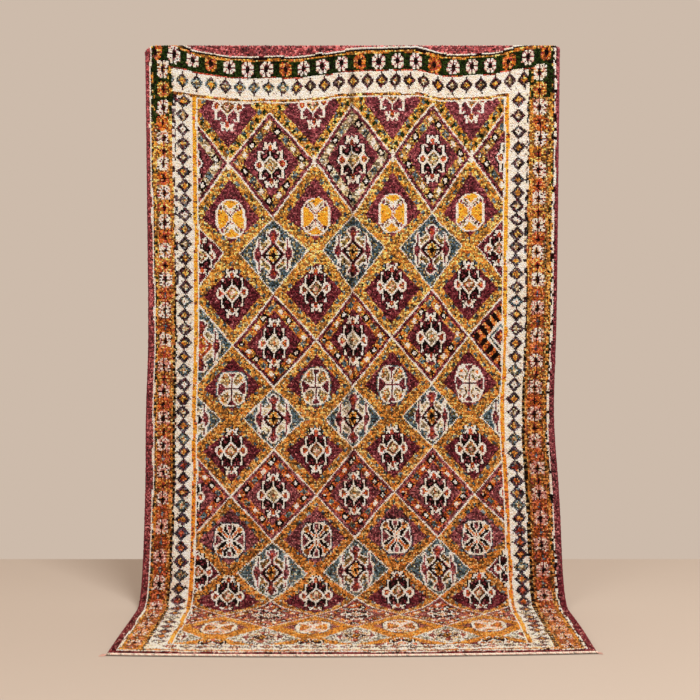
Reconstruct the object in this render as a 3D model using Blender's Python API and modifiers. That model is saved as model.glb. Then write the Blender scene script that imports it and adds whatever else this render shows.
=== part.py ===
"""A hand-knotted Boujad rug, hung over a hidden bar, its lower end swept forward onto the floor.

Metres, +Z up, the pile's face toward -Y. The origin is the middle of the line where the cloth lies on the bar.
"""

import math

import bmesh
import bpy
import numpy as np

WIDTH = 1.75
DROP = 2.322  # from the bar to the floor
THICK = 0.014  # the foundation and its pile
FOLD_R = 0.012  # the inside radius of the fold over the bar
FLAP = 0.064  # how far the top end goes over where the cloth is held highest
REACH = 0.876  # how far the front edge lies before the bar, at the middle
GAP = 0.0003  # between the cloth's edge and the plait

# Along the sweep: metres from its start, and the lean from hanging straight in degrees.
SWEEP = (
    (0.0, 0), (0.25, 4), (0.455, 14), (0.66, 18), (0.868, 14),
    (1.016, 20), (1.11, 33), (1.175, 55), (1.235, 90),
)
# How far the cloth sags between the places where it is held, from the left side to the right.
SAG = (
    (-0.875, 0.0), (-0.794, 0.0), (-0.646, 0.030), (-0.518, 0.051), (-0.433, 0.053),
    (-0.221, 0.045), (-0.051, 0.023), (0.055, 0.017), (0.272, 0.013), (0.374, 0.036),
    (0.480, 0.036), (0.586, 0.030), (0.714, 0.011), (0.820, 0.0), (0.875, 0.0),
)

PLAIT_DEPTH = 0.013
PLAIT_HEIGHT = 0.0095
PLAIT_PITCH = 0.024
STRAND = 0.0026  # a loose end's thickness at its root
LEFT_TUFT = (0.020, 0.031, 0.034, 0.024)  # lengths of the loose ends, back to front
RIGHT_TUFT = (0.016, 0.024, 0.021, 0.015)


def smooth(t):
    """A step from 0 to 1 with level ends."""
    t = np.clip(t, 0, 1)
    return t * t * (3 - 2 * t)


def side_line():
    """The cloth's back seen from the side: distance along it from the bar, then y and z."""
    step = 0.0005
    quarter = FOLD_R * math.pi / 2
    starts, leans = np.array(SWEEP).T
    swept = np.arange(0, starts[-1], step)
    sweep_drop = float(np.sum(np.cos(np.radians(np.interp(swept, starts, leans)))) * step)
    straight = DROP - FOLD_R - sweep_drop
    along = np.arange(0, quarter + straight + starts[-1] + 1, step)
    lean = np.interp(along - quarter - straight, starts, leans)
    lean = np.where(along < quarter, 90 * (1 - along / quarter), lean)
    y = -np.cumsum(np.sin(np.radians(lean))) * step
    z = -np.cumsum(np.cos(np.radians(lean))) * step
    z = np.where(along > quarter + straight + starts[-1], -DROP, np.maximum(z, -DROP))
    return along, y, z, quarter + straight


ALONG, LINE_Y, LINE_Z, SWEEP_START = side_line()
FLOOR_START = SWEEP_START + SWEEP[-1][0]


def front_edge(x):
    """How far along the cloth its front edge is at x. It is a little short to both sides."""
    middle = np.interp(REACH, -LINE_Y, ALONG)
    return middle - 0.0118 * x - 0.0325 * x * x


def sideways(x, s):
    """How far the cloth has drifted to the right. On the floor it also lies wider and further left."""
    drift = -0.011 * np.exp(-(((s - 1.57) / 0.25) ** 2)) + 0.003 * np.exp(-(((s - 2.62) / 0.2) ** 2))
    return drift + smooth((s - 2.3) / 0.45) * (0.0075 * x - 0.0020)


def waves(x, s):
    """How far the hanging cloth stands forward: soft upright waves and the dent of its middle crease."""
    hangs = smooth((s - 0.02) / 0.18) * (1 - smooth((s - SWEEP_START - 0.6) / 0.45))
    size = 0.0022 + 0.0030 * (1 - smooth((s - 0.3) / 1.1))
    roll = 0.6 * np.sin(11 * x + 0.9) + 0.4 * np.sin(21 * x + 2.0 + 0.8 * s)
    crease = -0.0035 * np.exp(-(((x + 0.006) / 0.016) ** 2))
    return hangs * (size * roll + crease)


def cloth_point(x, s):
    """A point on the cloth's back at x across and s along it. s is negative behind the bar."""
    y = np.interp(np.abs(s), ALONG, LINE_Y) * np.sign(s)
    z = np.interp(np.abs(s), ALONG, LINE_Z)
    left = 0.026 * np.clip((-x - 0.832) / 0.043, 0, 1) ** 2
    right = 0.010 * np.clip((x - 0.845) / 0.030, 0, 1) ** 2
    z = z - (left + right) * (1 - smooth(s / 0.14))
    y = y - waves(x, s)
    return np.stack([x + sideways(x, s), y, z], axis=-1)


def rows_and_columns():
    """The grid's places: x across, and s along for every row and column."""
    x = np.linspace(-WIDTH / 2, WIDTH / 2, 29)
    x = np.unique(np.round(np.concatenate([x, [-0.862, -0.846, -0.03, -0.015, 0.015, 0.03, 0.862]]), 4))
    sag = np.interp(x, *np.array(SAG).T)
    flap = FLAP - sag
    quarter = FOLD_R * math.pi / 2
    behind = -flap[:, None] * np.linspace(1, 0, 9)[None, :-1]
    fixed = np.concatenate([
        quarter * np.linspace(0, 1, 5),
        [0.034, 0.06, 0.10, 0.14],
        np.linspace(0.2, SWEEP_START, 15),
        SWEEP_START + np.linspace(0.12, 0.84, 9),
        SWEEP_START + np.linspace(0.89, 1.235, 18),
    ])
    ahead = np.broadcast_to(fixed, (len(x), len(fixed)))
    end = front_edge(x)[:, None]
    floor = FLOOR_START + (end - FLOOR_START) * np.linspace(0, 1, 8)[None, 1:]
    return x, np.concatenate([behind, ahead, floor], axis=1)


def grid_mesh(name, points, closed_round=False):
    """A mesh of four-sided faces on a grid of points, rows by columns."""
    rows, columns = points.shape[:2]
    at = np.arange(rows * columns).reshape(rows, columns)
    right = np.roll(at, -1, axis=1) if closed_round else at[:, 1:]
    here = at if closed_round else at[:, :-1]
    faces = np.stack([here[:-1], right[:-1], right[1:], here[1:]], axis=-1).reshape(-1, 4)
    mesh = bpy.data.meshes.new(name)
    mesh.from_pydata(points.reshape(-1, 3).tolist(), [], faces.tolist())
    return mesh


def material(name, colour, roughness):
    """A plain cloth material."""
    made = bpy.data.materials.new(name)
    made.use_nodes = True
    shader = made.node_tree.nodes["Principled BSDF"]
    shader.inputs["Base Color"].default_value = (*colour, 1)
    shader.inputs["Roughness"].default_value = roughness
    return made


def add(name, mesh, made):
    """Puts a mesh into the rug's collection as a node."""
    piece = bpy.data.objects.new(name, mesh)
    mesh.materials.append(made)
    HOME.objects.link(piece)
    return piece


def make_rug():
    """One knotted cloth: an open surface on its back, made solid toward the pile's side."""
    x, s = rows_and_columns()
    points = cloth_point(np.broadcast_to(x[:, None], s.shape), s)
    rug = add("rug", grid_mesh("rug", points), material("knotted_wool", (0.30, 0.13, 0.07), 0.95))
    solid = rug.modifiers.new("pile", "SOLIDIFY")
    solid.thickness = THICK
    solid.offset = 1
    solid.use_even_offset = True
    solid.use_rim = True
    return rug


def plait_rings(count):
    """The plait's outline at even steps along the front edge, its strands swelling it in turn."""
    x = np.linspace(-WIDTH / 2, WIDTH / 2, count)
    s = front_edge(x) + GAP
    edge = cloth_point(x, s)
    turn = 2 * math.pi * x / PLAIT_PITCH
    swell = 0.5 + 0.5 * np.cos(turn)
    other = 0.5 + 0.5 * np.cos(turn + 2.2)
    depth = PLAIT_DEPTH * (0.84 + 0.16 * swell)
    height = PLAIT_HEIGHT * (0.84 + 0.16 * other)
    # Across the plait, as shares of its depth and height, from the floor behind, over the top and down.
    outline = ((0, 0), (0, 0.78), (0.22, 1.0), (0.62, 0.96), (0.92, 0.62), (1.0, 0.30), (0.90, 0))
    rings = [
        edge + np.stack([np.zeros(count), -a * depth, b * height], axis=-1)
        for a, b in outline
    ]
    return np.stack(rings, axis=1)


def make_plait():
    """The plaited warp ends, one body with the frayed tufts at its two ends."""
    count = int(round(WIDTH / PLAIT_PITCH)) * 5 + 1
    rings = plait_rings(count)
    mesh = grid_mesh("front_end_plait", rings, closed_round=True)
    form = bmesh.new()
    form.from_mesh(mesh)
    corners = list(form.verts)
    around = rings.shape[1]
    for ring, side, lengths in ((0, -1, LEFT_TUFT), (count - 1, 1, RIGHT_TUFT)):
        end = corners[ring * around:(ring + 1) * around]
        tuft(form, end, side, lengths)
    bmesh.ops.recalc_face_normals(form, faces=form.faces)
    form.to_mesh(mesh)
    form.free()
    return add("front_end_plait", mesh, material("plaited_wool", (0.62, 0.36, 0.30), 0.95))


def band(form, first, second):
    """Joins two chains of corners, both from back to front, with a band of triangles."""
    i = j = 0
    while i < len(first) - 1 or j < len(second) - 1:
        ahead = i / (len(first) - 1) <= j / (len(second) - 1)
        if j == len(second) - 1 or (ahead and i < len(first) - 1):
            form.faces.new((first[i], first[i + 1], second[j]))
            i += 1
        else:
            form.faces.new((first[i], second[j + 1], second[j]))
            j += 1


def tuft(form, end, side, lengths):
    """Closes one end of the plait with a comb of roots and draws each root out into a loose end."""
    x = end[0].co.x
    back, front = end[0].co.y, end[-1].co.y
    across = np.linspace(back, front, len(lengths) + 1)
    root_x = x + side * 0.004
    low = [form.verts.new((root_x, y, -DROP)) for y in across]
    high = [form.verts.new((root_x, y, -DROP + STRAND)) for y in across]
    band(form, end, [low[0], *high, low[-1]])
    form.faces.new([end[0], *low, end[-1]])
    for i, length in enumerate(lengths):
        root = [low[i], low[i + 1], high[i + 1], high[i]]
        middle = 0.5 * (across[i] + across[i + 1])
        turn = (i - (len(lengths) - 1) / 2) * 0.42
        tip = []
        for v in root:
            tip.append(form.verts.new((
                root_x + side * length * math.cos(turn),
                middle - length * math.sin(turn) + 0.4 * (v.co.y - middle),
                -DROP + 0.5 * (v.co.z + DROP),
            )))
        for a in range(4):
            b = (a + 1) % 4
            form.faces.new((root[a], root[b], tip[b], tip[a]))
        form.faces.new(tip)


for old in list(bpy.data.objects):
    bpy.data.objects.remove(old, do_unlink=True)
HOME = bpy.data.collections.new("boujad_rug")
bpy.context.scene.collection.children.link(HOME)
make_rug()
make_plait()
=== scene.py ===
"""A hung boujad rug in soft daylight.

It has a knotted ground, a pile of knots in a charted pattern, side cords and a plaited front end.
"""
import math

import bpy
import numpy as np
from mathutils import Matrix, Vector


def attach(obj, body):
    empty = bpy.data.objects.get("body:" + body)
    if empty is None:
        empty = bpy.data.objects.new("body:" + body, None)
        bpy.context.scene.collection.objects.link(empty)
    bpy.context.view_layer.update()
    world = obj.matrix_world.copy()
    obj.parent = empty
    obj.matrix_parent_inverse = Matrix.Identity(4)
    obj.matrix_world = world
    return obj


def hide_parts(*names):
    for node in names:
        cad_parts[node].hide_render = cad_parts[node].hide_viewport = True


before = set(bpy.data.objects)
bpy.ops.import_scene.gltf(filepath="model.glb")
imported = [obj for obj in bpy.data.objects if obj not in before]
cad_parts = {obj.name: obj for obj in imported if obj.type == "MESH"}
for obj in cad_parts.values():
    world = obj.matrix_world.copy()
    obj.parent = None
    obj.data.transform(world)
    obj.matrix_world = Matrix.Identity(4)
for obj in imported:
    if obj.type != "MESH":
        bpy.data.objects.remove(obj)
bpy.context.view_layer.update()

# The knotted ground
# The foundation of wool warps and wefts that the knots are tied on, under the pile.
# It is one closed sheet about 3 mm thick, woven in one with its side cords.
# It goes over a hidden bar, hangs, leans forward and lies on the floor.
WIDTH = 1.75
DROP = 2.322  # from the bar to the floor
FOLD_R = 0.012  # the inside radius of the fold over the bar
FLAP = 0.064  # how far the top end goes over where the cloth is held highest
REACH = 0.876  # how far the front edge lies before the bar, at the middle
# Along the sweep: metres from its start, and the lean from hanging straight in degrees.
SWEEP = (
    (0.0, 0), (0.25, 4), (0.455, 14), (0.66, 18), (0.868, 14),
    (1.016, 20), (1.11, 33), (1.175, 55), (1.235, 90),
)
# How far the cloth sags between the places where it is held, from the left side to the right.
SAG = (
    (-0.875, 0.0), (-0.794, 0.0), (-0.646, 0.030), (-0.518, 0.051), (-0.433, 0.053),
    (-0.221, 0.045), (-0.051, 0.023), (0.055, 0.017), (0.272, 0.013), (0.374, 0.036),
    (0.480, 0.036), (0.586, 0.030), (0.714, 0.011), (0.820, 0.0), (0.875, 0.0),
)


def smooth(t):
    """A step from 0 to 1 with level ends."""
    t = np.clip(t, 0, 1)
    return t * t * (3 - 2 * t)


def side_line():
    """The cloth's back from the side: each short step goes down by the lean's cosine, forward by its sine.

    It gives the distance along the cloth from the bar, then y and z, then where the sweep starts.
    """
    step = 0.0005
    quarter = FOLD_R * math.pi / 2
    starts, leans = np.array(SWEEP).T
    swept = np.arange(0, starts[-1], step)
    sweep_drop = float(np.sum(np.cos(np.radians(np.interp(swept, starts, leans)))) * step)
    straight = DROP - FOLD_R - sweep_drop
    along = np.arange(0, quarter + straight + starts[-1] + 1, step)
    lean = np.interp(along - quarter - straight, starts, leans)
    lean = np.where(along < quarter, 90 * (1 - along / quarter), lean)
    y = -np.cumsum(np.sin(np.radians(lean))) * step
    z = -np.cumsum(np.cos(np.radians(lean))) * step
    z = np.where(along > quarter + straight + starts[-1], -DROP, np.maximum(z, -DROP))
    return along, y, z, quarter + straight


ALONG, LINE_Y, LINE_Z, SWEEP_START = side_line()
FRONT = float(np.interp(REACH, -LINE_Y, ALONG))
LENGTH = FRONT + FLAP


def short_by(x):
    """How much shorter the cloth is at x than at its middle: a slant and a slight curve of the front edge."""
    return 0.0118 * x + 0.0325 * x * x


def waves(x, s):
    """How far the hanging cloth stands forward: two upright sine waves less the dent of its middle crease."""
    hangs = smooth((s - 0.02) / 0.18) * (1 - smooth((s - SWEEP_START - 0.6) / 0.45))
    size = 0.0022 + 0.0030 * (1 - smooth((s - 0.3) / 1.1))
    roll = 0.6 * np.sin(11 * x + 0.9) + 0.4 * np.sin(21 * x + 2.0 + 0.8 * s)
    crease = -0.0035 * np.exp(-(((x + 0.006) / 0.016) ** 2))
    return hangs * (size * roll + crease)


def cloth_point(x, s):
    """A point on the cloth's back at x across and s along it. s is negative behind the bar.

    The side line gives y and z. The two top corners round off, the cloth drifts sideways a little
    at two levels, and on the floor it lies wider and further left.
    """
    y = np.interp(np.abs(s), ALONG, LINE_Y) * np.sign(s)
    z = np.interp(np.abs(s), ALONG, LINE_Z)
    left = 0.026 * np.clip((-x - 0.832) / 0.043, 0, 1) ** 2
    right = 0.010 * np.clip((x - 0.845) / 0.030, 0, 1) ** 2
    z = z - (left + right) * (1 - smooth(s / 0.14))
    y = y - waves(x, s)
    drift = -0.011 * np.exp(-(((s - 1.57) / 0.25) ** 2)) + 0.003 * np.exp(-(((s - 2.62) / 0.2) ** 2))
    drift = drift + smooth((s - 2.3) / 0.45) * (0.0075 * x - 0.0020)
    return np.stack([x + drift, y, z], axis=-1)


def along_cloth(x, p):
    """How far along from the bar a row of knots lies, where p counts from the top end.

    The sags push it down near the top and the slanted front edge pulls it back near the end. Both
    shares hang on the answer, so it is found by repeating the sum a few times.
    """
    sag = np.interp(x, *np.array(SAG).T)
    s = p - FLAP
    for _ in range(6):
        s = p - FLAP + sag * (1 - smooth(s / 0.64)) - short_by(x) * smooth((s - 2.35) / 0.6)
    return s


def cloth_frame(x, p):
    """Points on the cloth's back with the directions across, along and out of it, on a grid of x and p.

    Each direction is the difference of two near points, and out is square to both.
    """
    near = 0.004
    s = along_cloth(x, p)
    at = cloth_point(x, s)
    ahead = cloth_point(x, s + near) - cloth_point(x, s - near)
    ahead /= np.linalg.norm(ahead, axis=-1, keepdims=True)
    across = cloth_point(x + near, s) - cloth_point(x - near, s)
    across /= np.linalg.norm(across, axis=-1, keepdims=True)
    out = np.cross(ahead, across)
    out /= np.linalg.norm(out, axis=-1, keepdims=True)
    return at, across, ahead, out


# Flower borders and a white border frame a lattice of diamonds, and each row of diamonds has its own motif.
# The motifs are charted, the upper left quarter of each. A letter is a yarn, and a dot is the ground.
KNOTS_ACROSS = 318
KNOTS_ALONG = 490
KNOT_W = WIDTH / KNOTS_ACROSS
KNOT_H = LENGTH / KNOTS_ALONG
ROSETTE = (
    "..ww.",
    ".mwwm",
    "swmwm",
    "wwwmk",
    "wwwkk",
    "mmmkk",
)
SIDE_ROSETTE = (
    "...ww.",
    ".qwwwq",
    "wwwqwq",
    "wwwwwq",
    "qqwwqk",
    "wwwwqk",
    "qwqqkk",
)
TALL_DIAMOND = (
    "....P",
    "....P",
    "...PP",
    "..pPp",
    ".pppg",
    "pppgg",
    "ppggd",
)
WIDE_DIAMOND = (
    ".....P",
    "....Pp",
    "...Ppp",
    "..Pppg",
    ".Pppgg",
    "Pppggd",
)
BOLD_CRAB = (
    "........kww.kw",
    "........kwwkww",
    "........kwwwwr",
    "........kwwwro",
    ".......kwwwwro",
    ".......kwwkwrr",
    "........kk.krr",
    "...kwwww.k..kw",
    "...kwwkww.kkkw",
    "...kwwk.kkMkkw",
    "...kwwkkMMMkkw",
    "...kwwkkMMkkww",
    "...kwwkkkkkwwy",
    "...kwwwkkkwwyy",
    "..kwwwwwkwwyye",
    ".kwwrrwwwwyyee",
    ".kwrrorwwyyees",
    "kwwroorwwyyess",
)
CRAB = (
    "........kww..k",
    "........kwwkww",
    "........kwwwwr",
    "........kkwwro",
    "........kwwwro",
    ".......kwwkwrr",
    "........kk.krr",
    "....kww..k..kw",
    "....kwwk.k.kkw",
    "....kwk..kkkkw",
    "....kwkkkMMkkw",
    "....kwkkMMkkww",
    "....kwkkkkkwwy",
    "...wwwkkkkwwyy",
    "..wwwwwkkwwyye",
    ".wwrrwwkwwyyee",
    ".wwrorwwwyyees",
    "kwwroorwwyyess",
)
PETAL_OCTAGON = (
    ".......wwwww",
    ".....wwwaaaa",
    "....wwaaaaaa",
    "...wwwwaaaaa",
    "..wwmwvwwaaa",
    "..wmmwvvwwaa",
    ".wwmmwwvvwwa",
    "wwaawmmwvwww",
    "wwaaaawmwwww",
    "wwaaaaawmwws",
    "wwaaaaaawmws",
    "wwaaaaaaawms",
    "wwaaaaaaaawm",
    "wwaaaaaaaaww",
    "wwaaaaaaaawg",
)
CROSS_OCTAGON = (
    ".......bbbbbb",
    ".....bbwwwwww",
    "....bwwwewmmm",
    "...bwwgeewmmm",
    "..bwwogevwwmm",
    "..bwgooevvwwm",
    ".bwweogeevwwm",
    ".bwwegeggevwm",
    ".bwevegegevwm",
    "bwwwvveeevvwm",
    "bwmmwwvvevwwm",
    "bwmmmwwwvvwwm",
    "bwmmmmwwwwwwm",
    "bwmmmmmwwwwwm",
    "bwmmmmmmmmmmm",
)
STAR_OCTAGON = (
    ".....pppppppp",
    "....ppwwwwwww",
    "...ppwwwwkwmm",
    "..ppwgwwkkwmm",
    "..pwggowkkwmm",
    ".pwggoowkkwmm",
    ".pwggoowkkkws",
    "pwwwgooowkkws",
    "pwwkkkwoowkkw",
    "pwwwkkkwoowkw",
    "pwmwwkkkwoowo",
    "pwmmwwkkkwowo",
    "pwmmmwwkkkwwo",
    "pwmmmmwwkkwww",
    "pwmmmmmwwwwwy",
)
POD = (
    ".............www",
    "............wwmm",
    "..........wwwmmm",
    "..........wmwmmr",
    "..........wmmmrr",
    "..........wwmmrr",
    "....ww.....wwmrr",
    "...wwm.....wwmrr",
    "...wmw...wwvwwmr",
    "..wwmw..wwvvvwmm",
    "..wwmwwwwvvvvwmm",
    "..wwmwvvvvvvwwMM",
    "..wwmwvvvvvwwMkk",
    "..wwmwwvvvwwMkkw",
    ".wwmmwwvvwwMkkgg",
    ".wmmmwvvwwMkkggg",
    "wwmmmwwwwMkkwggk",
    "wmmmmmwwMkkwgggk",
    "wmmrmmwMkkwwggkk",
    "wmmmmmmMkkkkkkkk",
)
# The yarns by their letters in the charts, each with its colour at the four levels of YARN_LEVELS.
YARN_LEVELS = (0.0, 1.05, 2.30, 2.64)  # metres down the rug
YARNS = {
    "m": ((141, 66, 76), (126, 47, 58), (144, 76, 80), (158, 90, 76)),
    "M": ((137, 58, 72), (112, 36, 47), (109, 34, 46), (122, 40, 50)),
    "q": ((108, 36, 50), (82, 14, 26), (104, 36, 44), (124, 52, 56)),
    "w": ((255, 234, 216), (255, 234, 218), (255, 232, 216), (252, 230, 210)),
    "g": ((236, 166, 58), (232, 158, 60), (206, 128, 44), (224, 144, 48)),
    "h": ((214, 160, 76), (214, 156, 74), (190, 118, 52), (216, 136, 54)),
    "o": ((240, 134, 36), (238, 126, 40), (222, 110, 32), (232, 136, 50)),
    "r": ((168, 62, 40), (168, 54, 36), (162, 58, 36), (170, 80, 54)),
    "k": ((30, 10, 4), (28, 8, 4), (28, 10, 6), (52, 26, 18)),
    "n": ((28, 50, 8), (56, 60, 16), (66, 66, 24), (90, 84, 44)),
    "b": ((100, 122, 132), (82, 108, 122), (96, 118, 126), (204, 206, 190)),
    "e": ((200, 174, 132), (204, 178, 138), (198, 168, 130), (228, 206, 174)),
    "p": ((104, 84, 88), (94, 80, 90), (86, 74, 90), (136, 110, 106)),
    "P": ((64, 36, 36), (68, 46, 52), (68, 54, 66), (116, 84, 80)),
    "d": ((208, 128, 38), (200, 116, 38), (186, 84, 28), (186, 108, 50)),
    "s": ((228, 168, 152), (222, 158, 144), (218, 156, 142), (226, 172, 152)),
    "v": ((150, 130, 80), (146, 126, 74), (130, 102, 54), (182, 146, 92)),
    "a": ((248, 176, 44), (244, 170, 46), (238, 146, 40), (242, 168, 62)),
    "u": ((180, 104, 110), (162, 84, 92), (172, 98, 102), (188, 120, 112)),
    "y": ((156, 90, 34), (154, 88, 30), (136, 66, 20), (176, 104, 44)),
    "t": ((172, 78, 82), (160, 74, 76), (138, 58, 60), (112, 32, 38)),
}
# Every yarn has strays: a knot of the first letter is tied in one of the sixteen after it, at even odds.
STRAYS = {
    "m": "mmmmmmmmmmmmqqMu", "M": "MMMMMMMMMMMMmqqu", "a": "aaaaaaaaaaaaaago", "u": "uuuuuuuuuuuuuuuu",
    "g": "ggggggggggggghoy", "h": "hhhhhhgggvvyeykm", "o": "ooooooooooogodrr", "r": "rrrrrrrrrrrrrmdy",
    "k": "kkkkkkkkkkkkkkkk", "n": "nnnnnnnnnnnnnnkk", "b": "bbbbbbbbbbPPnvve", "e": "eeeeeeeeeeeevvww",
    "t": "ttttttttttttMmuu", "p": "ppppppPPPPkkqqbe", "P": "PPPPPPPPPkkqqppp", "d": "ddddddddddddrgoy",
    "v": "vvvvvvvvvvehyygk", "y": "yyyyyyyyyyyhrvgk", "w": "wwwwwwwwwwwwwwww", "q": "qqqqqqqqqqqqqmMM",
    "s": "ssssssssssssswwm",
}
LETTERS = "".join(YARNS)
# The lattice's lines cross in these columns, in metres across, and at these levels down the rug.
COLUMNS = (-0.7000, -0.5270, -0.3520, -0.1713, -0.0064, 0.1668, 0.3437, 0.5125, 0.6850)
CROSSINGS = (
    0.311, 0.544, 0.786, 0.930, 1.113, 1.323, 1.515, 1.653, 1.785,
    1.980, 2.163, 2.298, 2.419, 2.5685, 2.714, 2.851, 2.930,
)
# One motif for each row of diamonds: its kind, the middle of the motif and how tall it is beside its chart.
ROWS = (
    ("crab", 0.284, 1.04), ("ringed", 0.553, 0.98), ("petal", 0.786, 0.90), ("pod", 0.942, 0.92),
    ("crab", 1.098, 0.95), ("ringed", 1.325, 1.0), ("cross", 1.515, 0.91), ("pod", 1.651, 0.90),
    ("crab", 1.788, 0.94), ("ringed", 1.978, 0.86), ("star", 2.163, 0.85), ("pod", 2.294, 0.84),
    ("crab", 2.398, 0.88), ("ringed", 2.560, 0.70), ("pale", 2.716, 0.80), ("pod", 2.828, 0.59),
    ("crab", 2.925, 0.78),
)
# How wide the pods are in their diamonds, and which yarns a row of crabs takes in place of the chart's.
POD_WIDTHS = {3: 0.83, 7: 0.74, 11: 0.82, 15: 0.78}
CRAB_SWAPS = {
    0: (("M", "m"), ("k", "m")),
    1: (("M", "m"), ("y", "v"), ("s", "g")),
    5: (("M", "m"), ("y", "e"), ("s", "d")),
    9: (("M", "m"), ("y", "e"), ("s", "d")),
    13: (("M", "m"),),
}
# The borders' layers, counted inward from each edge, as the places where they end in metres from that edge:
# the maroon edge, a white line, a dotted line, the flowers, a guard line, the white border and two lines.
# A layer that ends where the one before it does is left out there.
LEFT_LAYERS = (0.025, 0.032, 0.045, 0.104, 0.121, 0.199, 0.2145, 0.221)
RIGHT_LAYERS = (0.018, 0.027, 0.041, 0.112, 0.133, 0.2145, 0.229, 0.236)
TOP_LAYERS = (0.0575, 0.0635, 0.080, 0.1500, 0.1545, 0.2490, 0.2600, 0.2670)
FRONT_LAYERS = (0.017, 0.027, 0.040, 0.040, 0.040, 0.096, 0.096, 0.096)
EDGE, WHITE_LINE, DOTTED_LINE, FLOWERS, GUARD, WHITE_BORDER, GOLD_LINE, INNER_LINE = range(8)
# The flowers and the diamonds of the side borders: the numbers of some, and their levels down the rug.
LEFT_FLOWERS = (
    (0, 2, 4, 6, 14, 16, 18, 20, 22, 24, 28, 32, 34, 49),
    (0.163, 0.318, 0.450, 0.560, 1.050, 1.182, 1.309, 1.416, 1.524, 1.641, 1.870, 2.100, 2.228, 3.076),
)
RIGHT_FLOWERS = (
    (0, 2, 7, 13, 18, 23, 28, 33, 37, 50),
    (0.172, 0.322, 0.648, 0.987, 1.283, 1.566, 1.858, 2.127, 2.340, 3.07),
)
LEFT_DIAMONDS = ((0, 12, 21, 30, 48), (0.285, 1.018, 1.555, 2.072, 3.116))
RIGHT_DIAMONDS = ((0, 5, 12, 20, 27, 36, 49), (0.280, 0.625, 1.021, 1.493, 1.910, 2.373, 3.088))
# How much higher some of the top border's flowers lie, by number.
TOP_FLOWER_LIFTS = {-1: 0.006, 0: 0.006, 1: 0.012, 2: 0.010, 3: 0.006, 20: 0.016, 19: 0.006}
FLOOR_P = 2.45  # the flowers and the whites are browner from here on


def code(letter):
    """The number of a yarn."""
    return LETTERS.index(letter)


def unfold(chart):
    """The whole motif in yarn numbers: its quarter mirrored across and down. -1 is where the ground shows."""
    quarter = np.array([[LETTERS.find(c) for c in line] for line in chart])
    half = np.concatenate([quarter, quarter[:, -2::-1]], axis=1)
    return np.concatenate([half, half[-2::-1]], axis=0)


def stamp(yarn, chart, x, p, x0, p0, tall, swap, where, wide=1.0):
    """Lays a charted motif over the yarn grid with its middle at x0 and p0.

    A place's distance from that middle, in knots of the motif's own size, is its place in the chart.
    """
    motif = unfold(chart)
    for old, new in swap:
        motif = np.where(motif == code(old), code(new), motif)
    i = np.rint((p - p0) / (KNOT_H * tall)).astype(int) + motif.shape[0] // 2
    j = np.rint((x - x0) / (KNOT_W * wide)).astype(int) + motif.shape[1] // 2
    inside = where & (i >= 0) & (i < motif.shape[0]) & (j >= 0) & (j < motif.shape[1])
    found = motif[np.clip(i, 0, motif.shape[0] - 1), np.clip(j, 0, motif.shape[1] - 1)]
    return np.where(inside & (found >= 0), found, yarn)


def noise(a, b, seed):
    """An even random number from 0 to 1 for each pair of whole numbers: what is left of a large sine."""
    mixed = np.sin(a * 127.1 + b * 311.7 + seed * 74.7) * 43758.5453
    return mixed - np.floor(mixed)


def drawn(x, p, levels, table):
    """How far the lattice is drawn out of true at a place, between the nearest values of a small table.

    Each line of the table is for one place across, and holds a value for each level down the rug.
    """
    places = (-0.53, -0.17, 0.17, 0.51)
    by_level = [np.interp(p, levels, line) for line in table]
    share = np.interp(x, places, np.arange(4.0))
    return sum(np.clip(1 - np.abs(share - k), 0, 1) * line for k, line in enumerate(by_level))


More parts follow.
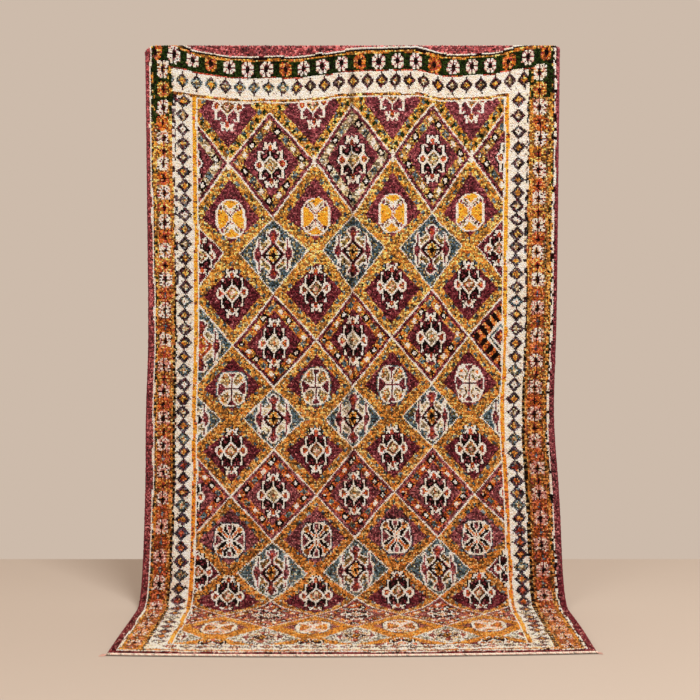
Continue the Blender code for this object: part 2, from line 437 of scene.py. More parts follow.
def field(x, p):
    """The yarns of the lattice of diamonds with their bands, dots and motifs.

    Places are turned into fractions of a column and of a level. Their half sum and half difference
    count the rising and the falling lines, so their whole parts number the diamond and their
    fractions give the distance to its sides.
    """
    aside_by = drawn(x, p, (0.5, 1.3, 1.6, 2.0, 2.3), (
        (0.000, 0.018, 0.020, 0.015, 0.012),
        (0.008, 0.021, 0.024, 0.024, 0.019),
        (0.002, 0.003, 0.012, 0.013, 0.018),
        (-0.011, -0.016, -0.002, 0.008, 0.009),
    ))
    down_by = drawn(x, p, (0.31, 0.8, 1.3, 1.65, 2.0, 2.3), (
        (0.004, 0.002, 0.006, -0.003, 0.000, 0.000),
        (-0.008, -0.003, -0.014, -0.006, -0.012, -0.003),
        (-0.028, -0.022, -0.030, -0.012, -0.022, -0.020),
        (-0.028, -0.023, -0.033, -0.016, -0.016, -0.020),
    ))
    x, p = x - aside_by, p - down_by
    yarn = np.full(x.shape, code("m"))
    columns = np.interp(x, COLUMNS, np.arange(9))
    rows = np.interp(p, (0.078,) + CROSSINGS + (3.02,), np.arange(-1.0, 18.0))
    rising, falling = (columns + rows) / 2, (columns - rows) / 2
    row = (np.floor(rising) - np.floor(falling)).astype(int)
    column = (np.floor(rising) + np.floor(falling) + 1).astype(int)
    half = 0.173  # half a diamond's width in metres
    aside, above = np.abs(columns - column), np.abs(rows - row)
    inward = (1 - aside - above) * half
    edge_a, edge_b = np.minimum(rising % 1, 1 - rising % 1), np.minimum(falling % 1, 1 - falling % 1)
    near = np.minimum(edge_a, edge_b)
    run = np.where(edge_a < edge_b, falling, rising) % 1

    kind = np.array([name for name, _, _ in ROWS])[np.clip(row, 0, len(ROWS) - 1)]
    ringed, pods = kind == "ringed", kind == "pod"
    band_width = np.where(row > 13, 0.064, np.where(row > 9, 0.046, 0.051))
    gold = ~ringed & ~pods & (inward < band_width)
    yarn = np.where(gold, code("g"), yarn)

    def dots(yarn, where, low, high, shift, letter):
        """A lane of small squares that runs along a band, five to each side of a diamond."""
        place = (run * 5 + shift) % 1
        hit = where & (near > low) & (near < high) & (place < 0.38)
        return np.where(hit, code(letter), yarn)

    band = ringed & (inward > 0.020) & (inward < 0.060)
    knot_x, knot_p = np.floor(x / KNOT_W), np.floor(p / KNOT_H)
    band_yarn = np.where((row == 1) & ((column == 4) | (column == 0)), code("e"), code("h"))
    band_yarn = np.where(row >= 5, code("o"), band_yarn)
    band_yarn = np.where((row == 5) & (noise(knot_x, knot_p, 3) < 0.6), code("g"), band_yarn)
    band_yarn = np.where((row >= 9) & (noise(knot_x, knot_p, 5) < 0.35), code("r"), band_yarn)
    yarn = np.where(ringed & (inward <= 0.021), np.where(row == 5, code("M"), code("m")), yarn)
    yarn = np.where(band, band_yarn, yarn)
    slot = np.floor(run * 5.5) * 2 + 3 * column + row + np.where(edge_a < edge_b, 1, 3)
    pick = (slot % 6) / 6 + 0.08
    there_x = ((run * 5.5) % 1 - 0.5) / 0.34
    there_y = (near - 0.115) / 0.050
    ring = np.maximum(np.abs(there_x), np.abs(there_y))
    yarn = np.where(band & (pick < 0.2) & (ring < 1), code("k"), yarn)
    yarn = np.where(band & (pick < 0.2) & (ring < 0.5), code("w"), yarn)
    yarn = np.where(band & (pick >= 0.2) & (pick < 0.5) & (ring < 0.8), code("b"), yarn)
    yarn = np.where(band & (pick >= 0.5) & (pick < 0.8) & (ring < 0.62), code("w"), yarn)
    yarn = np.where(band & (pick >= 0.8) & (ring < 0.8), code("P"), yarn)

    pod_width = np.ones(x.shape)
    for r, share in POD_WIDTHS.items():
        pod_width = np.where(row == r, share, pod_width)
    beside_pod = ((column == 0) | (column == 8)) & ((row == 3) | (row == 11))
    pod_in = (1 - aside / pod_width - above) * half * pod_width
    outside = pods & (pod_in < 0)
    yarn = np.where(outside, code("g"), yarn)
    gold = gold | outside
    inside_pod = pods & (pod_in >= 0)
    yarn = np.where(inside_pod, np.where(beside_pod, code("M"), code("b")), yarn)
    yarn = np.where(inside_pod & (pod_in < 0.0065), code("w"), yarn)

    speckled = gold & (row < 14)
    yarn = dots(yarn, speckled, 0.040, 0.072, 0.3, "v")
    yarn = dots(yarn, speckled, 0.086, 0.136, 0.75, "b")
    green = gold & (row == 0) & (near > 0.03) & (near < 0.10) & ((run * 6.5 + 0.10) % 1 < 0.30)
    yarn = np.where(green, code("n"), yarn)

    blue_pod = (row == 5) & (column == 0)
    yarn = np.where(blue_pod, code("b"), yarn)
    yarn = stamp(yarn, POD, x, p, -0.662, CROSSINGS[5], 0.95, (("v", "e"), ("k", "r"), ("M", "o")), blue_pod)
    zigzag = (row == 5) & (column == 8)
    yarn = np.where(zigzag & (inward > 0.018), np.where((run * 7) % 1 < 0.5, code("o"), code("k")), yarn)
    nested = np.abs(x - 0.648) + np.abs(p - CROSSINGS[5]) * 0.85
    for size, letter in ((0.062, "w"), (0.050, "b"), (0.040, "w"), (0.030, "M"), (0.016, "o")):
        yarn = np.where(zigzag & (nested < size), code(letter), yarn)

    deeper = np.isin(row, (4, 5, 6, 8, 12, 16)) & (yarn == code("m")) & (inward > 0.045)
    yarn = np.where(deeper, code("M"), yarn)

    for r, (name, middle, tall) in enumerate(ROWS):
        for k, x0 in enumerate(COLUMNS):
            if (k + r) % 2 == 0 or (r == 5 and k in (0, 8)):
                continue
            here = (row == r) & (column == k)
            if name == "pod" and k in (0, 8) and r in (3, 11):
                inner = x0 - 0.045 * np.sign(x0)
                yarn = stamp(yarn, CRAB, x, p, inner, middle, 0.75, (), here, 0.9)
            elif name == "pod":
                paler = (("v", "e"),) if r == 7 else ()
                shown = here & (pod_in > 0.007)
                yarn = stamp(yarn, POD, x, p, x0, middle, tall, paler, shown, 1.0 if r == 3 else 0.92)
            elif name == "petal":
                yarn = stamp(yarn, PETAL_OCTAGON, x, p, x0, middle, tall, (), here)
            elif name == "pale":
                swap = (("a", "o"), ("v", "s"), ("m", "s"), ("g", "s"))
                yarn = stamp(yarn, CROSS_OCTAGON, x, p, x0, middle, tall + 0.06, (("b", "p"),), here, 1.06)
                yarn = stamp(yarn, PETAL_OCTAGON, x, p, x0, middle, tall, swap, here)
            elif name == "cross":
                change = (("m", "M"),) if k < 7 else (("g", "w"), ("b", "m"), ("e", "w"))
                yarn = stamp(yarn, CROSS_OCTAGON, x, p, x0, middle, tall, change, here)
            elif name == "star":
                yarn = stamp(yarn, STAR_OCTAGON, x, p, x0, middle, tall, (), here)
            elif name == "ringed" or r == 0:
                chart, wide = (BOLD_CRAB, 1.0) if r < 2 else (CRAB, 0.95)
                yarn = stamp(yarn, chart, x, p, x0, middle, tall, CRAB_SWAPS[r], here, wide)
            else:
                yarn = stamp(yarn, CRAB, x, p, x0, middle, tall, (), here, 0.97)

    line_row = np.where(rows > row, row + 1, row)
    white = np.isin(line_row, (1, 2, 5, 6, 9, 10, 13, 14)) & (near * 2 * half < 0.0042)
    bar = (np.abs(p - CROSSINGS[1]) < 0.030) & (np.abs(columns - np.rint(columns)) * half < 0.0065)
    bar &= np.rint(columns).astype(int) % 2 == 1
    return np.where(white | bar, code("w"), yarn)


def rug_yarns(x, p):
    """The yarn of every knot: the borders from the edges inward, then the field.

    Places are first moved by a few slow sine waves. A knot's layer is the outermost one that it
    falls in, counted from each of the four edges.
    """
    knot_x = np.floor((x + WIDTH / 2) / KNOT_W)
    knot_p = np.floor(p / KNOT_H)
    x = x + 0.0022 * np.sin(7 * p + 2.0 * x) + 0.0014 * np.sin(31 * p + 5 * x)
    p = p + 0.0026 * np.sin(9 * x + 3 * p) + 0.0016 * np.sin(37 * x + 11 * p)
    raised = 0.006 * smooth((x - 0.60) / 0.12) + 0.022 * smooth((-x - 0.66) / 0.10)
    p = p + raised * (1 - smooth((p - 0.08) / 0.13))
    left, right, bottom = x + WIDTH / 2, WIDTH / 2 - x, LENGTH - p
    left_grown = np.interp(p, (0, 0.6, 0.95, 1.3, 3), (-0.008, -0.008, -0.005, 0.004, 0.003))
    right_grown = np.interp(p, (0, 1.0, 1.4, 2.2, 3), (-0.003, -0.003, 0.004, 0.010, 0.010))
    left_layer = np.digitize(left - left_grown * (left < 0.15), LEFT_LAYERS)
    right_layer = np.digitize(right - right_grown * (right < 0.15), RIGHT_LAYERS)
    top_layer = np.digitize(p, TOP_LAYERS)
    bottom_layer = np.digitize(bottom, FRONT_LAYERS)
    side_layer = np.minimum(left_layer, right_layer)
    depth = np.minimum(side_layer, np.minimum(top_layer, bottom_layer))
    on_top, on_bottom = top_layer <= side_layer, bottom < 0.098
    on_left = (x < 0) & ~on_top
    on_right = (x > 0) & ~on_top

    yarn = field(x, p)
    dashes = noise(knot_x // 2, knot_p // 2, 9)
    ticks = knot_p % 4 < 2
    right_edge = np.where(p > 2.3, code("M"), code("m"))
    yarn = np.where(depth == EDGE, np.where(on_right, right_edge, code("t")), yarn)
    yarn = np.where(depth == WHITE_LINE, np.where(on_right & (dashes < 0.25), code("k"), code("w")), yarn)
    top_line = np.where(p < 0.0705, code("k"), np.where(dashes < 0.6, code("d"), code("g")))
    dotted = (left_layer == DOTTED_LINE) & (left - left_grown < 0.0365)
    dotted |= (right_layer == DOTTED_LINE) & (right - right_grown < 0.0315)
    dark_top = p < np.where(x < 0, 0.385, 0.278)
    greens = np.where(dark_top, 0.75, 0.15)
    side_line = np.where(dotted & ticks, code("P"), np.where(dashes < greens, code("n"), code("g")))
    yarn = np.where(depth == DOTTED_LINE, np.where(on_top, top_line, side_line), yarn)
    upper, lower = np.array([[code(c) for c in line] for line in ("vvvyhvevymvy", "vvvyyyyhyqry")])
    pick = (noise(knot_x, knot_p, 15) * 11.99).astype(int)
    mixed = np.where(noise(knot_x, knot_p, 16) > (p - 0.7) / 0.7, upper[pick], lower[pick])
    margin = (left_layer == FLOWERS) & ((left < 0.052 + left_grown) | (left > 0.094))
    margin |= (right_layer == FLOWERS) & ((right < 0.050 + right_grown) | (right > 0.118))
    browns = np.where(p > 1.2, 0.62, 0.45)
    mixed = np.where(margin & ~on_top, np.where(dashes < browns, code("y"), code("g")), mixed)
    yarn = np.where(depth == FLOWERS, np.where(dark_top, code("n"), mixed), yarn)
    ticked = ((left_layer == GUARD) & (left > 0.1145)) | ((right_layer == GUARD) & (right > 0.1275))
    plain_guard = np.where(dashes < 0.3, code("d"), code("g"))
    guard = np.where(ticked, np.where(ticks, code("k"), code("v")), plain_guard)
    guard = np.where(dark_top & (dashes < 0.6), code("n"), guard)
    yarn = np.where(depth == GUARD, np.where(on_top, code("r"), guard), yarn)
    yarn = np.where(depth == WHITE_BORDER, code("w"), yarn)
    teeth = (left_layer == WHITE_BORDER) & (left < 0.1290)
    teeth |= (right_layer == WHITE_BORDER) & (right < 0.1400)
    yarn = np.where(teeth & ~on_top & ~on_bottom & (dashes < 0.45), code("p"), yarn)
    side_gold = np.where(dashes < np.where(p > 1.7, 0.35, 0.12), code("o"), code("a"))
    inner_line = np.where(on_top, np.where(dashes < 0.5, code("y"), code("g")), side_gold)
    yarn = np.where(depth == GOLD_LINE, inner_line, yarn)
    yarn = np.where((depth == WHITE_BORDER) & on_left & (p > 0.249) & (p < 0.258), code("y"), yarn)
    yarn = np.where(depth == INNER_LINE, code("w"), yarn)

    flowers, white_border = depth == FLOWERS, depth == WHITE_BORDER
    orange = (("w", "o"), ("m", "r"), ("s", "o"))
    for k in range(-1, 21):
        level = 0.1145 - TOP_FLOWER_LIFTS.get(k, 0)
        change = orange if k % 4 == 2 or k in (-1, 20) else ()
        yarn = stamp(yarn, ROSETTE, x, p, -0.756 + 0.0788 * k, level, 0.95, change, flowers & on_top, 1.04)
    corner = (side_layer == FLOWERS) & (p > 0.139)
    sides = (
        (on_left | corner & (x < 0), -WIDTH / 2 + 0.0745, np.interp(np.arange(49), *LEFT_FLOWERS), 0.88),
        (on_right | corner & (x > 0), WIDTH / 2 - 0.085, np.interp(np.arange(50), *RIGHT_FLOWERS), 0.97),
    )
    for side, x0, levels, wide in sides:
        for k, level in enumerate(levels):
            change = (("w", "g" if k % 4 == 1 else "o"), ("q", "r")) if k % 2 else ()
            if k in (15, 17, 19, 27) or (k % 2 and k > 30):
                change = (("w", "d"), ("q", "r"), ("k", "b"))
            yarn = stamp(yarn, SIDE_ROSETTE, x, p, x0, level, 0.84, change, flowers & side, wide)
    dull_share = 0.15 + 0.6 * smooth((p - 0.9) / 0.9)
    dulled = flowers & ~on_top & (yarn == code("w")) & (noise(knot_x, knot_p, 17) < dull_share)
    on_floor = p > FLOOR_P
    dull_yarn = np.where(on_floor & (noise(knot_x, knot_p, 20) < 0.55), code("h"), code("s"))
    yarn = np.where(dulled, dull_yarn, yarn)
    browner = flowers & ~on_top & (yarn == code("q")) & (noise(knot_x, knot_p, 18) < 0.5)
    yarn = np.where(browner, code("y"), yarn)
    for k in range(-1, 26):
        outline = "b" if k < 8 and k != 3 else ("p" if k < 9 else "P")
        change = (("p", outline), ("g", "g" if k % 2 == 0 else "e"))
        x0 = -0.717 + 0.0601 * k
        yarn = stamp(yarn, TALL_DIAMOND, x, p, x0, 0.1960, 0.95, change, white_border & on_top)
    sides = (
        (on_left, -WIDTH / 2 + 0.1600, np.interp(np.arange(48), *LEFT_DIAMONDS)),
        (on_right, WIDTH / 2 - 0.1745, np.interp(np.arange(49), *RIGHT_DIAMONDS)),
    )
    for side, x0, levels in sides:
        shown = white_border & side & ~on_bottom
        for k, level in enumerate(levels):
            outline = "b" if k % 5 == 4 and k > 12 else ("P" if k % 3 == 0 and k > 14 else "p")
            middle = "gewgeg"[k % 6] if k < 24 else "grdge"[k % 5]
            change = (("p", outline), ("g", middle))
            yarn = stamp(yarn, WIDE_DIAMOND, x, p, x0, level, 0.94, change, shown, 1.06)
    for k in range(24):
        change = (("p", "p" if k % 2 else "r"), ("g", "e"))
        x0, p0 = -0.66 + 0.0585 * k, LENGTH - 0.073
        yarn = stamp(yarn, WIDE_DIAMOND, x, p, x0, p0, 0.56, change, white_border & on_bottom)
    faded = on_floor & (yarn == code("w")) & (noise(knot_x, knot_p, 19) < 0.22)
    yarn = np.where(faded, code("e"), yarn)
    yarn = np.where(p < 0.006, code("s"), yarn)
    strays = np.array([[code(c) for c in STRAYS[letter]] for letter in LETTERS])
    return strays[yarn, (noise(knot_x, knot_p, 21) * 15.999).astype(int)]


def yarn_colours(yarn, p, spread, seed):
    """Each knot's own colour, linear: its yarn at that level, lighter or darker by a random lift.

    The lift is the sum of one draw for the knot, one shared with its neighbour, one that runs
    along the row, and a slow wave. The colour is multiplied by its exponential, and the lightest
    and the darkest knots lose a share of their colour to a warm grey.
    """
    table = np.array([YARNS[c] for c in LETTERS], float) / 255
    table = np.where(table <= 0.04045, table / 12.92, ((table + 0.055) / 1.055) ** 2.4)
    share = np.interp(p, YARN_LEVELS, np.arange(4))
    low = np.clip(np.floor(share).astype(int), 0, 2)
    part = (share - low)[..., None]
    colour = table[yarn, low] * (1 - part) + table[yarn, low + 1] * part
    rng = np.random.default_rng(seed)
    single = rng.normal(0, 1, yarn.shape)
    paired = rng.normal(0, 1, yarn.shape)
    paired[:, 1::2] = paired[:, 0:-1:2]
    single = single + 0.35 * paired
    along_row = rng.normal(0, 1, yarn.shape)
    along_row = along_row + np.roll(along_row, 1, 1) + np.roll(along_row, 2, 1) + np.roll(along_row, 3, 1)
    slow, fast = np.linspace(0, 19, yarn.shape[1]), np.linspace(0, 31, yarn.shape[1])
    patch = np.sin(p * 23 + 2 * np.sin(slow)) * np.sin(fast + p * 5)
    lift = spread * (0.85 * single + 0.24 * along_row + 0.35 * patch)
    lift = np.where((yarn == code("g")) & (p > 2.6), 0.6 * lift, lift)
    even = np.isin(yarn, [code("w"), code("s"), code("a")])
    lift = np.where(even, 0.25 * lift - 0.01, lift - 0.3 * spread ** 2)
    lift = np.where(rng.random(yarn.shape) < np.where(even, 0.02, 0.10), lift - 1.1, lift)
    bright = np.clip(lift, 0, 1)[..., None]
    dull = np.clip(-lift, 0, 1)[..., None] * 0.16
    colour = colour * np.exp(np.clip(lift, -2.2, 0.75))[..., None]
    pale = colour.mean(axis=-1, keepdims=True) * np.array([1.25, 1.0, 0.85])
    colour = colour * (1 - 0.35 * bright - dull) + pale * (0.35 * bright + dull)
    return np.clip(colour, 0, 1)


def grid_faces(rows, columns):
    """Four-sided faces between the points of a grid."""
    at = np.arange(rows * columns).reshape(rows, columns)
    return np.stack([at[:-1, :-1], at[:-1, 1:], at[1:, 1:], at[1:, :-1]], axis=-1).reshape(-1, 4)


def mesh_object(name, points, faces, smoothly):
    """A mesh from arrays of points and of faces that all have the same number of corners."""
    mesh = bpy.data.meshes.new(name)
    count, corners = faces.shape
    mesh.vertices.add(len(points))
    mesh.vertices.foreach_set("co", np.asarray(points, np.float32).ravel())
    mesh.loops.add(count * corners)
    mesh.loops.foreach_set("vertex_index", faces.astype(np.int32).ravel())
    mesh.polygons.add(count)
    mesh.polygons.foreach_set("loop_start", np.arange(0, count * corners, corners, dtype=np.int32))
    mesh.polygons.foreach_set("use_smooth", np.full(count, smoothly))
    mesh.update(calc_edges=True)
    mesh.validate()
    made = bpy.data.objects.new(name, mesh)
    bpy.context.scene.collection.objects.link(made)
    return made


def paint(piece, colours):
    """Keeps a colour for every point of a piece."""
    layer = piece.data.color_attributes.new("yarn", "FLOAT_COLOR", "POINT")
    filled = np.concatenate([colours, np.ones((len(colours), 1))], axis=1)
    layer.data.foreach_set("color", filled.astype(np.float32).ravel())


def lay_out(piece, across, along):
    """A UV map that places each face by its knot's place on the cloth, both numbers from 0 to 1."""
    layer = piece.data.uv_layers.new(name="OFBake")
    at = np.zeros(len(piece.data.loops), np.int32)
    piece.data.loops.foreach_get("vertex_index", at)
    layer.data.foreach_set("uv", np.stack([across[at], along[at]], axis=1).astype(np.float32).ravel())


def wool(name, roughness, bump_scale, bump_height, sheen):
    """Matt wool in the colour that its piece keeps, with fine fibres as bump."""
    made = bpy.data.materials.new(name)
    made.use_nodes = True
    nodes, links = made.node_tree.nodes, made.node_tree.links
    shader = nodes["Principled BSDF"]
    shader.inputs["Roughness"].default_value = roughness
    shader.inputs["Specular IOR Level"].default_value = 0.1
    shader.inputs["Sheen Weight"].default_value = sheen
    shader.inputs["Sheen Roughness"].default_value = 0.5
    colour = nodes.new("ShaderNodeVertexColor")
    colour.layer_name = "yarn"
    links.new(colour.outputs["Color"], shader.inputs["Base Color"])
    place = nodes.new("ShaderNodeTexCoord")
    fibre = nodes.new("ShaderNodeTexNoise")
    fibre.inputs["Scale"].default_value = bump_scale
    fibre.inputs["Detail"].default_value = 3
    links.new(place.outputs["Object"], fibre.inputs["Vector"])
    bump = nodes.new("ShaderNodeBump")
    bump.inputs["Strength"].default_value = 0.6
    bump.inputs["Distance"].default_value = bump_height
    links.new(fibre.outputs["Fac"], bump.inputs["Height"])
    links.new(bump.outputs["Normal"], shader.inputs["Normal"])
    return made


# The ground's two faces, as heights over the cloth's back.
GROUND_LOW = 0.0009
GROUND_THICK = 0.004
gx = np.linspace(-WIDTH / 2 + 0.003, WIDTH / 2 - 0.003, 72)
gp = np.unique(np.concatenate([np.linspace(0.001, LENGTH - 0.001, 112), np.linspace(0.036, 0.130, 22)]))
grid_x, grid_p = np.meshgrid(gx, gp)
at, across, ahead, out = cloth_frame(grid_x, grid_p)
rows, columns = grid_x.shape
back = at + out * GROUND_LOW
front = at + out * GROUND_THICK
faces = grid_faces(rows, columns)
ring = np.concatenate([
    np.arange(columns), np.arange(1, rows) * columns + columns - 1,
    (rows - 1) * columns + np.arange(columns - 1)[::-1], np.arange(1, rows - 1)[::-1] * columns,
])
rim = np.stack([ring, np.roll(ring, -1), np.roll(ring, -1) + rows * columns, ring + rows * columns], axis=-1)
ground = mesh_object(
    "rug_ground",
    np.concatenate([back.reshape(-1, 3), front.reshape(-1, 3)]),
    np.concatenate([faces, faces[:, ::-1] + rows * columns, rim[:, ::-1]]),
    True,
)
ground_yarn = rug_yarns(grid_x, grid_p)
shades = yarn_colours(ground_yarn, grid_p, 0.15, 4)
# The back face keeps 0.9 of the knots' colours. The face under the pile keeps half of them: painted shade
# beneath the tufts.
paint(ground, np.concatenate([(shades * 0.9).reshape(-1, 3), (shades * 0.5).reshape(-1, 3)]))
back_wool = wool("woven_back", 0.95, 420, 0.001, 0.0)
ground.data.materials.append(back_wool)
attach(ground, "root")
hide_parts("rug")

# The knots' backs
# Each knot shows on the underside as a flat bead of its own yarn, between wefts that cross the whole width.
# They are made where the underside can be seen, from the bar down to the floor.
back_p = (np.arange(KNOTS_ALONG) + 0.5) * KNOT_H
back_p = back_p[(back_p > 0.045) & (back_p < 2.44)]
back_x = (np.arange(KNOTS_ACROSS) + 0.5) * KNOT_W - WIDTH / 2
back_x[0], back_x[-1] = back_x[0] + 0.002, back_x[-1] - 0.002
grid_x, grid_p = np.meshgrid(back_x, back_p)
back_colour = yarn_colours(rug_yarns(grid_x, grid_p), grid_p, 0.22, 4)
at, across, ahead, out = cloth_frame(grid_x, grid_p)
bead = 0.0004 + 0.00025 * np.random.default_rng(6).random(grid_x.shape)
at = at + out * bead[..., None]
half = len(back_p) // 2
for number, rows in enumerate((np.arange(half + 1), np.arange(half, len(back_p)))):
    piece = mesh_object(
        f"knot_backs_{number + 1}", at[rows].reshape(-1, 3), grid_faces(len(rows), KNOTS_ACROSS), True)
    paint(piece, (back_colour[rows] * 0.88).reshape(-1, 3))
    place_j, place_i = np.meshgrid(np.linspace(0, 1, KNOTS_ACROSS), np.linspace(0, 1, len(rows)))
    lay_out(piece, place_j.ravel(), 1 - place_i.ravel())
    piece.data.materials.append(back_wool)
    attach(piece, "root")
    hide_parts("rug")

# The pile
# Every knot is a short tuft of wool that leans toward the front end, with painted shade at its root and a
# painted highlight at its cut end.
# The tufts are joined into one mesh for each quarter of the rug's length.
TUFT_LOW = 0.0042  # over the cloth's back
TUFT_HIGH = 0.0134
TUFT_SPREAD = 1.15  # half a tuft's root, in knots, so that the tufts overlap
# Painted shade on each tuft's root corners, deepest at the front end under the lean, and a painted highlight
# on its tip.
ROOT_PAINTED_SHADE = (0.34, 0.34, 0.20, 0.20)  # darker toward the front end, where the tuft leans
TIP_PAINTED_HIGHLIGHT = 1.34
PILE_PARTS = 4
kx = (np.arange(KNOTS_ACROSS) + 0.5) * KNOT_W - WIDTH / 2
kp = (np.arange(KNOTS_ALONG) + 0.5) * KNOT_H
knot_x, knot_p = np.meshgrid(kx, kp)
rng = np.random.default_rng(3)
place_x = knot_x + rng.normal(0, 0.0005, knot_x.shape)
place_p = knot_p + rng.normal(0, 0.0006, knot_x.shape)
pile_yarn = rug_yarns(knot_x, knot_p)
pile_colour = yarn_colours(pile_yarn, knot_p, 0.72, 7)
# The flower bands of the two sides are a little deeper in tone where the cloth hangs.
in_band = smooth((np.abs(knot_x) - 0.72) / 0.03) * (1 - smooth((np.abs(knot_x) - 0.835) / 0.02))
in_band = in_band * (1 - smooth((knot_p - 2.35) / 0.1))
right_dim = 0.12 + 0.09 * smooth((knot_p - 1.0) / 0.6)
left_dim = 0.14 * smooth((knot_p - 0.9) / 0.6)
pile_colour = pile_colour * (1 - np.where(knot_x > 0, right_dim, left_dim) * in_band)[..., None]
# The pile parts along the middle crease, and painted shade darkens its tufts there.
crease_x = -0.006 + 0.003 * np.sin(knot_p * 9)
parted_and_shaded = np.exp(-(((knot_x - crease_x) / 0.0170) ** 2))
parted_and_shaded = parted_and_shaded * smooth((knot_p - 0.06) / 0.03) * (1 - smooth((knot_p - 1.9) / 0.5))
# Painted shade in the crease, a little uneven down its length.
crease_painted_shade = 0.55 + 0.22 * np.sin(knot_p * 41) * np.sin(knot_p * 17)
pile_colour = pile_colour * (1 - crease_painted_shade * parted_and_shaded)[..., None]
at, across, ahead, out = cloth_frame(place_x, np.clip(place_p, 0.002, LENGTH - 0.002))
edge = np.minimum(WIDTH / 2 - np.abs(knot_x), np.minimum(knot_p, LENGTH - knot_p))
crown = np.clip(edge / 0.010, 0.25, 1) ** 0.5
high = (TUFT_HIGH - TUFT_LOW) * crown * (1 - 0.5 * parted_and_shaded) + rng.normal(0, 0.0007, knot_x.shape)
half_w = np.minimum(TUFT_SPREAD * KNOT_W, np.maximum(WIDTH / 2 - np.abs(knot_x), 0.001))[..., None]
half_h = np.maximum(np.minimum(knot_p, LENGTH - knot_p), 0.001)
half_h = np.minimum(TUFT_SPREAD * KNOT_H, half_h)[..., None]
root = at + out * TUFT_LOW
lean_x = rng.normal(0, 0.0010, knot_x.shape)[..., None]
lean_p = (0.0018 + rng.normal(0, 0.0011, knot_x.shape))[..., None] * crown[..., None]
tips = root + out * high[..., None] + across * lean_x + ahead * lean_p
corners = np.stack([
    root - across * half_w - ahead * half_h,
    root + across * half_w - ahead * half_h,
    root + across * half_w + ahead * half_h,
    root - across * half_w + ahead * half_h,
    tips,
], axis=2)
pile_wool = wool("knotted_pile", 0.92, 700, 0.0012, 0.0)
for part, rows in enumerate(np.array_split(np.arange(KNOTS_ALONG), PILE_PARTS)):
    tufts = corners[rows].reshape(-1, 5, 3)
    first = (np.arange(len(tufts)) * 5)[:, None, None]
    sides = np.array([[0, 1, 4], [1, 2, 4], [2, 3, 4], [3, 0, 4]])
    faces = (first + sides[None, :, ::-1]).reshape(-1, 3)
    pile = mesh_object(f"pile_{part + 1}", tufts.reshape(-1, 3), faces, False)
    own = pile_colour[rows].reshape(-1, 1, 3)
    # Painted shade at the four root corners and a painted highlight at the tip.
    painted_root_shade_tip_highlight = np.array([*ROOT_PAINTED_SHADE, TIP_PAINTED_HIGHLIGHT])[None, :, None]
    paint(pile, np.clip(own * painted_root_shade_tip_highlight, 0, 1).reshape(-1, 3))
    grid_i, grid_j = np.meshgrid(np.arange(len(rows)), np.arange(KNOTS_ACROSS), indexing="ij")
    corner_i = np.array([0.05, 0.05, 0.95, 0.95, 0.5])
    corner_j = np.array([0.05, 0.95, 0.95, 0.05, 0.5])
    lay_out(
        pile,
        ((grid_j.reshape(-1, 1) + corner_j) / KNOTS_ACROSS).ravel(),
        (1 - (grid_i.reshape(-1, 1) + corner_i) / len(rows)).ravel(),
    )
    pile.data.materials.append(pile_wool)
    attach(pile, "root")
    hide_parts("rug")


# The plaited front end
# The rug's warps, plaited into one flat braid of pink and cream wool that lies along the front edge.
# Three strands cross in turn, and at both corners they end in a frayed tuft.
def tube(points, radius, sides, squash):
    """A tube round many lines of points at once: its corners and its four-sided faces, without end caps.

    Each ring is the cosine and the sine of its turn, laid along two directions square to the line.
    """
    lines, count = points.shape[:2]
    ahead = np.gradient(points, axis=1)
    ahead /= np.linalg.norm(ahead, axis=-1, keepdims=True) + 1e-12
    up = np.array([0.0, 0.0, 1.0])
    side = np.cross(ahead, up)
    side /= np.linalg.norm(side, axis=-1, keepdims=True) + 1e-12
    over = np.cross(side, ahead)
    turn = np.arange(sides) * 2 * math.pi / sides
    r = radius[..., None, None] if np.ndim(radius) else radius
    ring = side[:, :, None] * np.cos(turn)[:, None] + over[:, :, None] * np.sin(turn)[:, None] * squash
    corners = points[:, :, None] + r * ring
    at = np.arange(lines * count * sides).reshape(lines, count, sides)
    here, there = at[:, :-1], at[:, 1:]
    faces = np.stack([here, np.roll(here, -1, 2), np.roll(there, -1, 2), there], axis=-1)
    return corners.reshape(-1, 3), faces.reshape(-1, 4)


PLAIT_PITCH = 0.024
PLAIT_STEPS = 800
STRAND_R = 0.0032
px = np.linspace(-WIDTH / 2 - 0.002, WIDTH / 2 + 0.002, PLAIT_STEPS)
inner = np.clip(px, -WIDTH / 2, WIDTH / 2)
edge_line = cloth_point(inner, FRONT - short_by(inner))
edge_line[:, 0] += px - inner
strands = []
for k in range(3):
    turn = 2 * math.pi * (px / PLAIT_PITCH + k / 3)
    line = edge_line.copy()
    line[:, 1] += -0.0069 + 0.0034 * np.sin(turn)
    line[:, 2] += 0.0054 + 0.0020 * np.sin(2 * turn)
    strands.append(line)
strands = np.array(strands)
points, faces = tube(strands, STRAND_R, 8, 0.95)
plait = mesh_object("front_plait", points, faces, True)
rng = np.random.default_rng(5)
shades = np.array([[0.94, 0.76, 0.62], [0.84, 0.56, 0.46], [0.96, 0.86, 0.74]])
worn = 1 - 0.6 * (np.sin(px * 97 + 2 * np.sin(px * 23)) > 0.95)
wear = np.stack([worn, np.ones(PLAIT_STEPS), np.roll(worn, 20)])[..., None]
wander = (1 + rng.normal(0, 0.10, (3, PLAIT_STEPS, 1))) * wear
# Round each strand: painted shade, darkest underneath where it meets the floor and half as strong on its
# front, none on top.
painted_floor_shade = np.array([0.5, 1.0, 1.0, 1.0, 1.0, 0.12, 0.12, 0.08])[None, None, :, None]
colours = (shades[:, None] * wander)[:, :, None] * painted_floor_shade
paint(plait, np.clip(colours, 0, 1).reshape(-1, 3))
plait_wool = wool("plait_wool", 0.9, 500, 0.001, 0.1)
plait.data.materials.append(plait_wool)
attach(plait, "root")
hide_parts("front_end_plait")

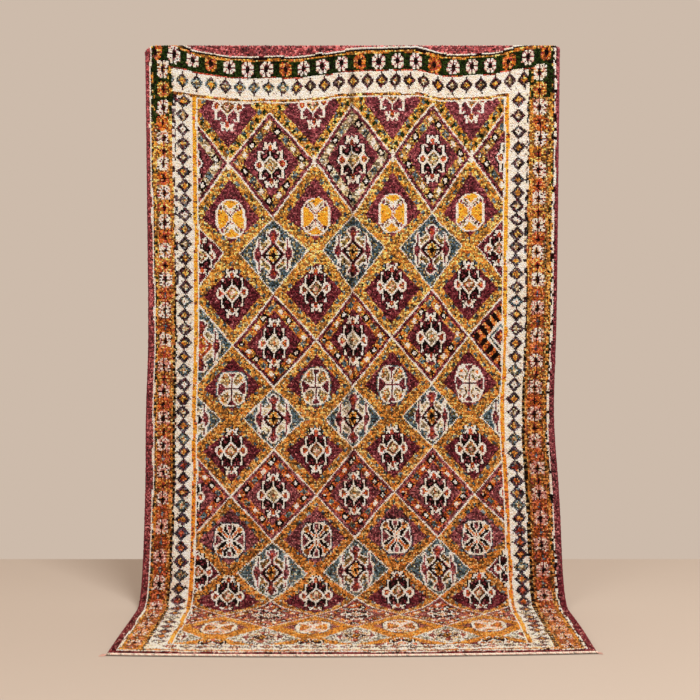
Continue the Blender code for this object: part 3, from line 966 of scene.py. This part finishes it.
# The frayed corners
# The loose ends of the plait's yarns, spread on the floor at the two front corners.
# Each end is a fine yarn of its own.
FRAY_R = 0.0007
FRAY_POINTS = 9
for side, reach, count in ((-1, 0.030, 34), (1, 0.022, 30)):
    x_end = np.array([side * WIDTH / 2])
    start = cloth_point(x_end, FRONT - short_by(x_end))[0]
    t = np.linspace(0, 1, FRAY_POINTS)[None, :]
    fan = rng.uniform(-0.75, 0.75, (count, 1))
    far = reach * rng.uniform(0.55, 1.0, (count, 1))
    curl = rng.normal(0, 0.004, (count, 1)) * t ** 2
    x_line = start[0] - side * 0.004 + side * (far + 0.004) * t * np.cos(fan * t)
    y_line = start[1] - 0.0063 + rng.uniform(-0.004, 0.004, (count, 1))
    y_line = y_line - far * np.sin(fan) * t ** 1.4 + curl
    z_line = start[2] + 0.0012 + rng.uniform(0.001, 0.006, (count, 1)) * (1 - t) ** 1.5 + 0.0004
    line = np.stack([x_line, y_line, z_line], axis=-1)
    points, faces = tube(line, FRAY_R * (1 - 0.5 * t), 4, 1.0)
    fray = mesh_object("frayed_left" if side < 0 else "frayed_right", points, faces, True)
    tone = np.array([0.76, 0.46, 0.38]) * rng.uniform(0.6, 1.2, (count, 1, 1, 1))
    paint(fray, np.clip(np.broadcast_to(tone, (count, FRAY_POINTS, 4, 3)), 0, 1).reshape(-1, 3))
    fray.data.materials.append(plait_wool)
    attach(fray, "root")
    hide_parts("front_end_plait")

# The side cords
# The outermost warps of both sides, overcast with maroon wool into a firm round edge.
# They run the whole length and are woven in one with the ground.
CORD_INSET = 0.0048  # from the cloth's edge to the cord's middle
CORD_R = 0.0043
CORD_HEIGHT = 0.0058  # of the cord's middle over the cloth's back
CORD_SIDES = 8
sp = np.linspace(0.002, LENGTH - 0.001, 1100)
turn = np.arange(CORD_SIDES) * 2 * math.pi / CORD_SIDES
# The wool is wound in uneven turns, about 19 and 43 mm apart, and each pass shows as a fine ridge.
bulge = 0.0007 * np.sin(sp * 2 * math.pi / 0.019 + 3 * np.sin(sp * 4))
bulge = bulge + 0.0005 * np.sin(sp * 2 * math.pi / 0.043)
wrap = 0.00035 * np.sin(sp[:, None] * 2 * math.pi / 0.0085 + turn[None])
radius = CORD_R + bulge[:, None] + wrap
for side in (-1, 1):
    at, across, ahead, out = cloth_frame(np.full(sp.shape, side * (WIDTH / 2 - CORD_INSET)), sp)
    middle = at + out * CORD_HEIGHT
    points = middle[:, None] + radius[..., None] * (
        across[:, None] * np.cos(turn)[None, :, None] + out[:, None] * np.sin(turn)[None, :, None])
    ids = np.arange(len(sp) * CORD_SIDES).reshape(len(sp), CORD_SIDES)
    here, there = ids[:-1], ids[1:]
    faces = np.stack([here, np.roll(here, -1, 1), np.roll(there, -1, 1), there], axis=-1).reshape(-1, 4)
    name = "side_cord_left" if side < 0 else "side_cord_right"
    cord = mesh_object(name, points.reshape(-1, 3), faces, True)
    maroon = yarn_colours(np.full(ids.shape, code("M")), np.repeat(sp[:, None], CORD_SIDES, 1), 0.3, 12)
    paint(cord, maroon.reshape(-1, 3))
    cord.data.materials.append(pile_wool)
    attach(cord, "root")
    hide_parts("rug")

# The studio
# A pale floor that ends half a metre behind the rug, an even pale surround for the wall,
# two soft lamps before the rug, the stronger one to the right, and the camera.
FLOOR_Z = -DROP
FLOOR_SIDE = 9
FLOOR_BACK = 0.50
floor_mesh = bpy.data.meshes.new("floor")
floor_corners = (
    (-FLOOR_SIDE, -FLOOR_SIDE, FLOOR_Z), (FLOOR_SIDE, -FLOOR_SIDE, FLOOR_Z),
    (FLOOR_SIDE, FLOOR_BACK, FLOOR_Z), (-FLOOR_SIDE, FLOOR_BACK, FLOOR_Z),
)
floor_mesh.from_pydata(floor_corners, [], [(0, 1, 2, 3)])
floor = bpy.data.objects.new("floor", floor_mesh)
bpy.context.scene.collection.objects.link(floor)
plain = bpy.data.materials.new("pale_floor")
plain.use_nodes = True
shader = plain.node_tree.nodes["Principled BSDF"]
shader.inputs["Base Color"].default_value = (0.58, 0.50, 0.43, 1)
shader.inputs["Roughness"].default_value = 0.9
floor_mesh.materials.append(plain)

world = bpy.data.worlds.new("studio")
world.use_nodes = True
surround = world.node_tree.nodes["Background"]
surround.inputs["Color"].default_value = (0.610, 0.497, 0.407, 1)
surround.inputs["Strength"].default_value = 1.0
bpy.context.scene.world = world


def area_light(name, place, target, size, power, colour):
    """A soft square light that looks at a point."""
    lamp = bpy.data.lights.new(name, "AREA")
    lamp.size, lamp.energy, lamp.color = size, power, colour
    made = bpy.data.objects.new(name, lamp)
    made.location = place
    made.rotation_euler = (Vector(target) - Vector(place)).to_track_quat("-Z", "Y").to_euler()
    bpy.context.scene.collection.objects.link(made)


RUG_MIDDLE = (0, 0, -1.3)
area_light("key", (1.9, -3.6, 2.6), RUG_MIDDLE, 2.6, 236, (1.0, 0.97, 0.93))
area_light("fill", (-3.0, -4.2, 0.8), RUG_MIDDLE, 2.4, 45, (1.0, 0.98, 0.95))

LENS = 57
SENSOR = 36
LOOK_DOWN = math.atan(72 / (LENS / SENSOR * 700))  # the level of the eye is 72 of 700 pixels above the middle
camera = bpy.data.cameras.new("camera")
camera.lens = LENS
camera.sensor_width = SENSOR
eye = bpy.data.objects.new("camera", camera)
eye.location = (-0.0107, -4.765, FLOOR_Z + 1.352)
eye.rotation_euler = (math.pi / 2 - LOOK_DOWN, 0, 0)
bpy.context.scene.collection.objects.link(eye)
bpy.context.scene.camera = eye
bpy.context.scene.view_settings.view_transform = "Standard"
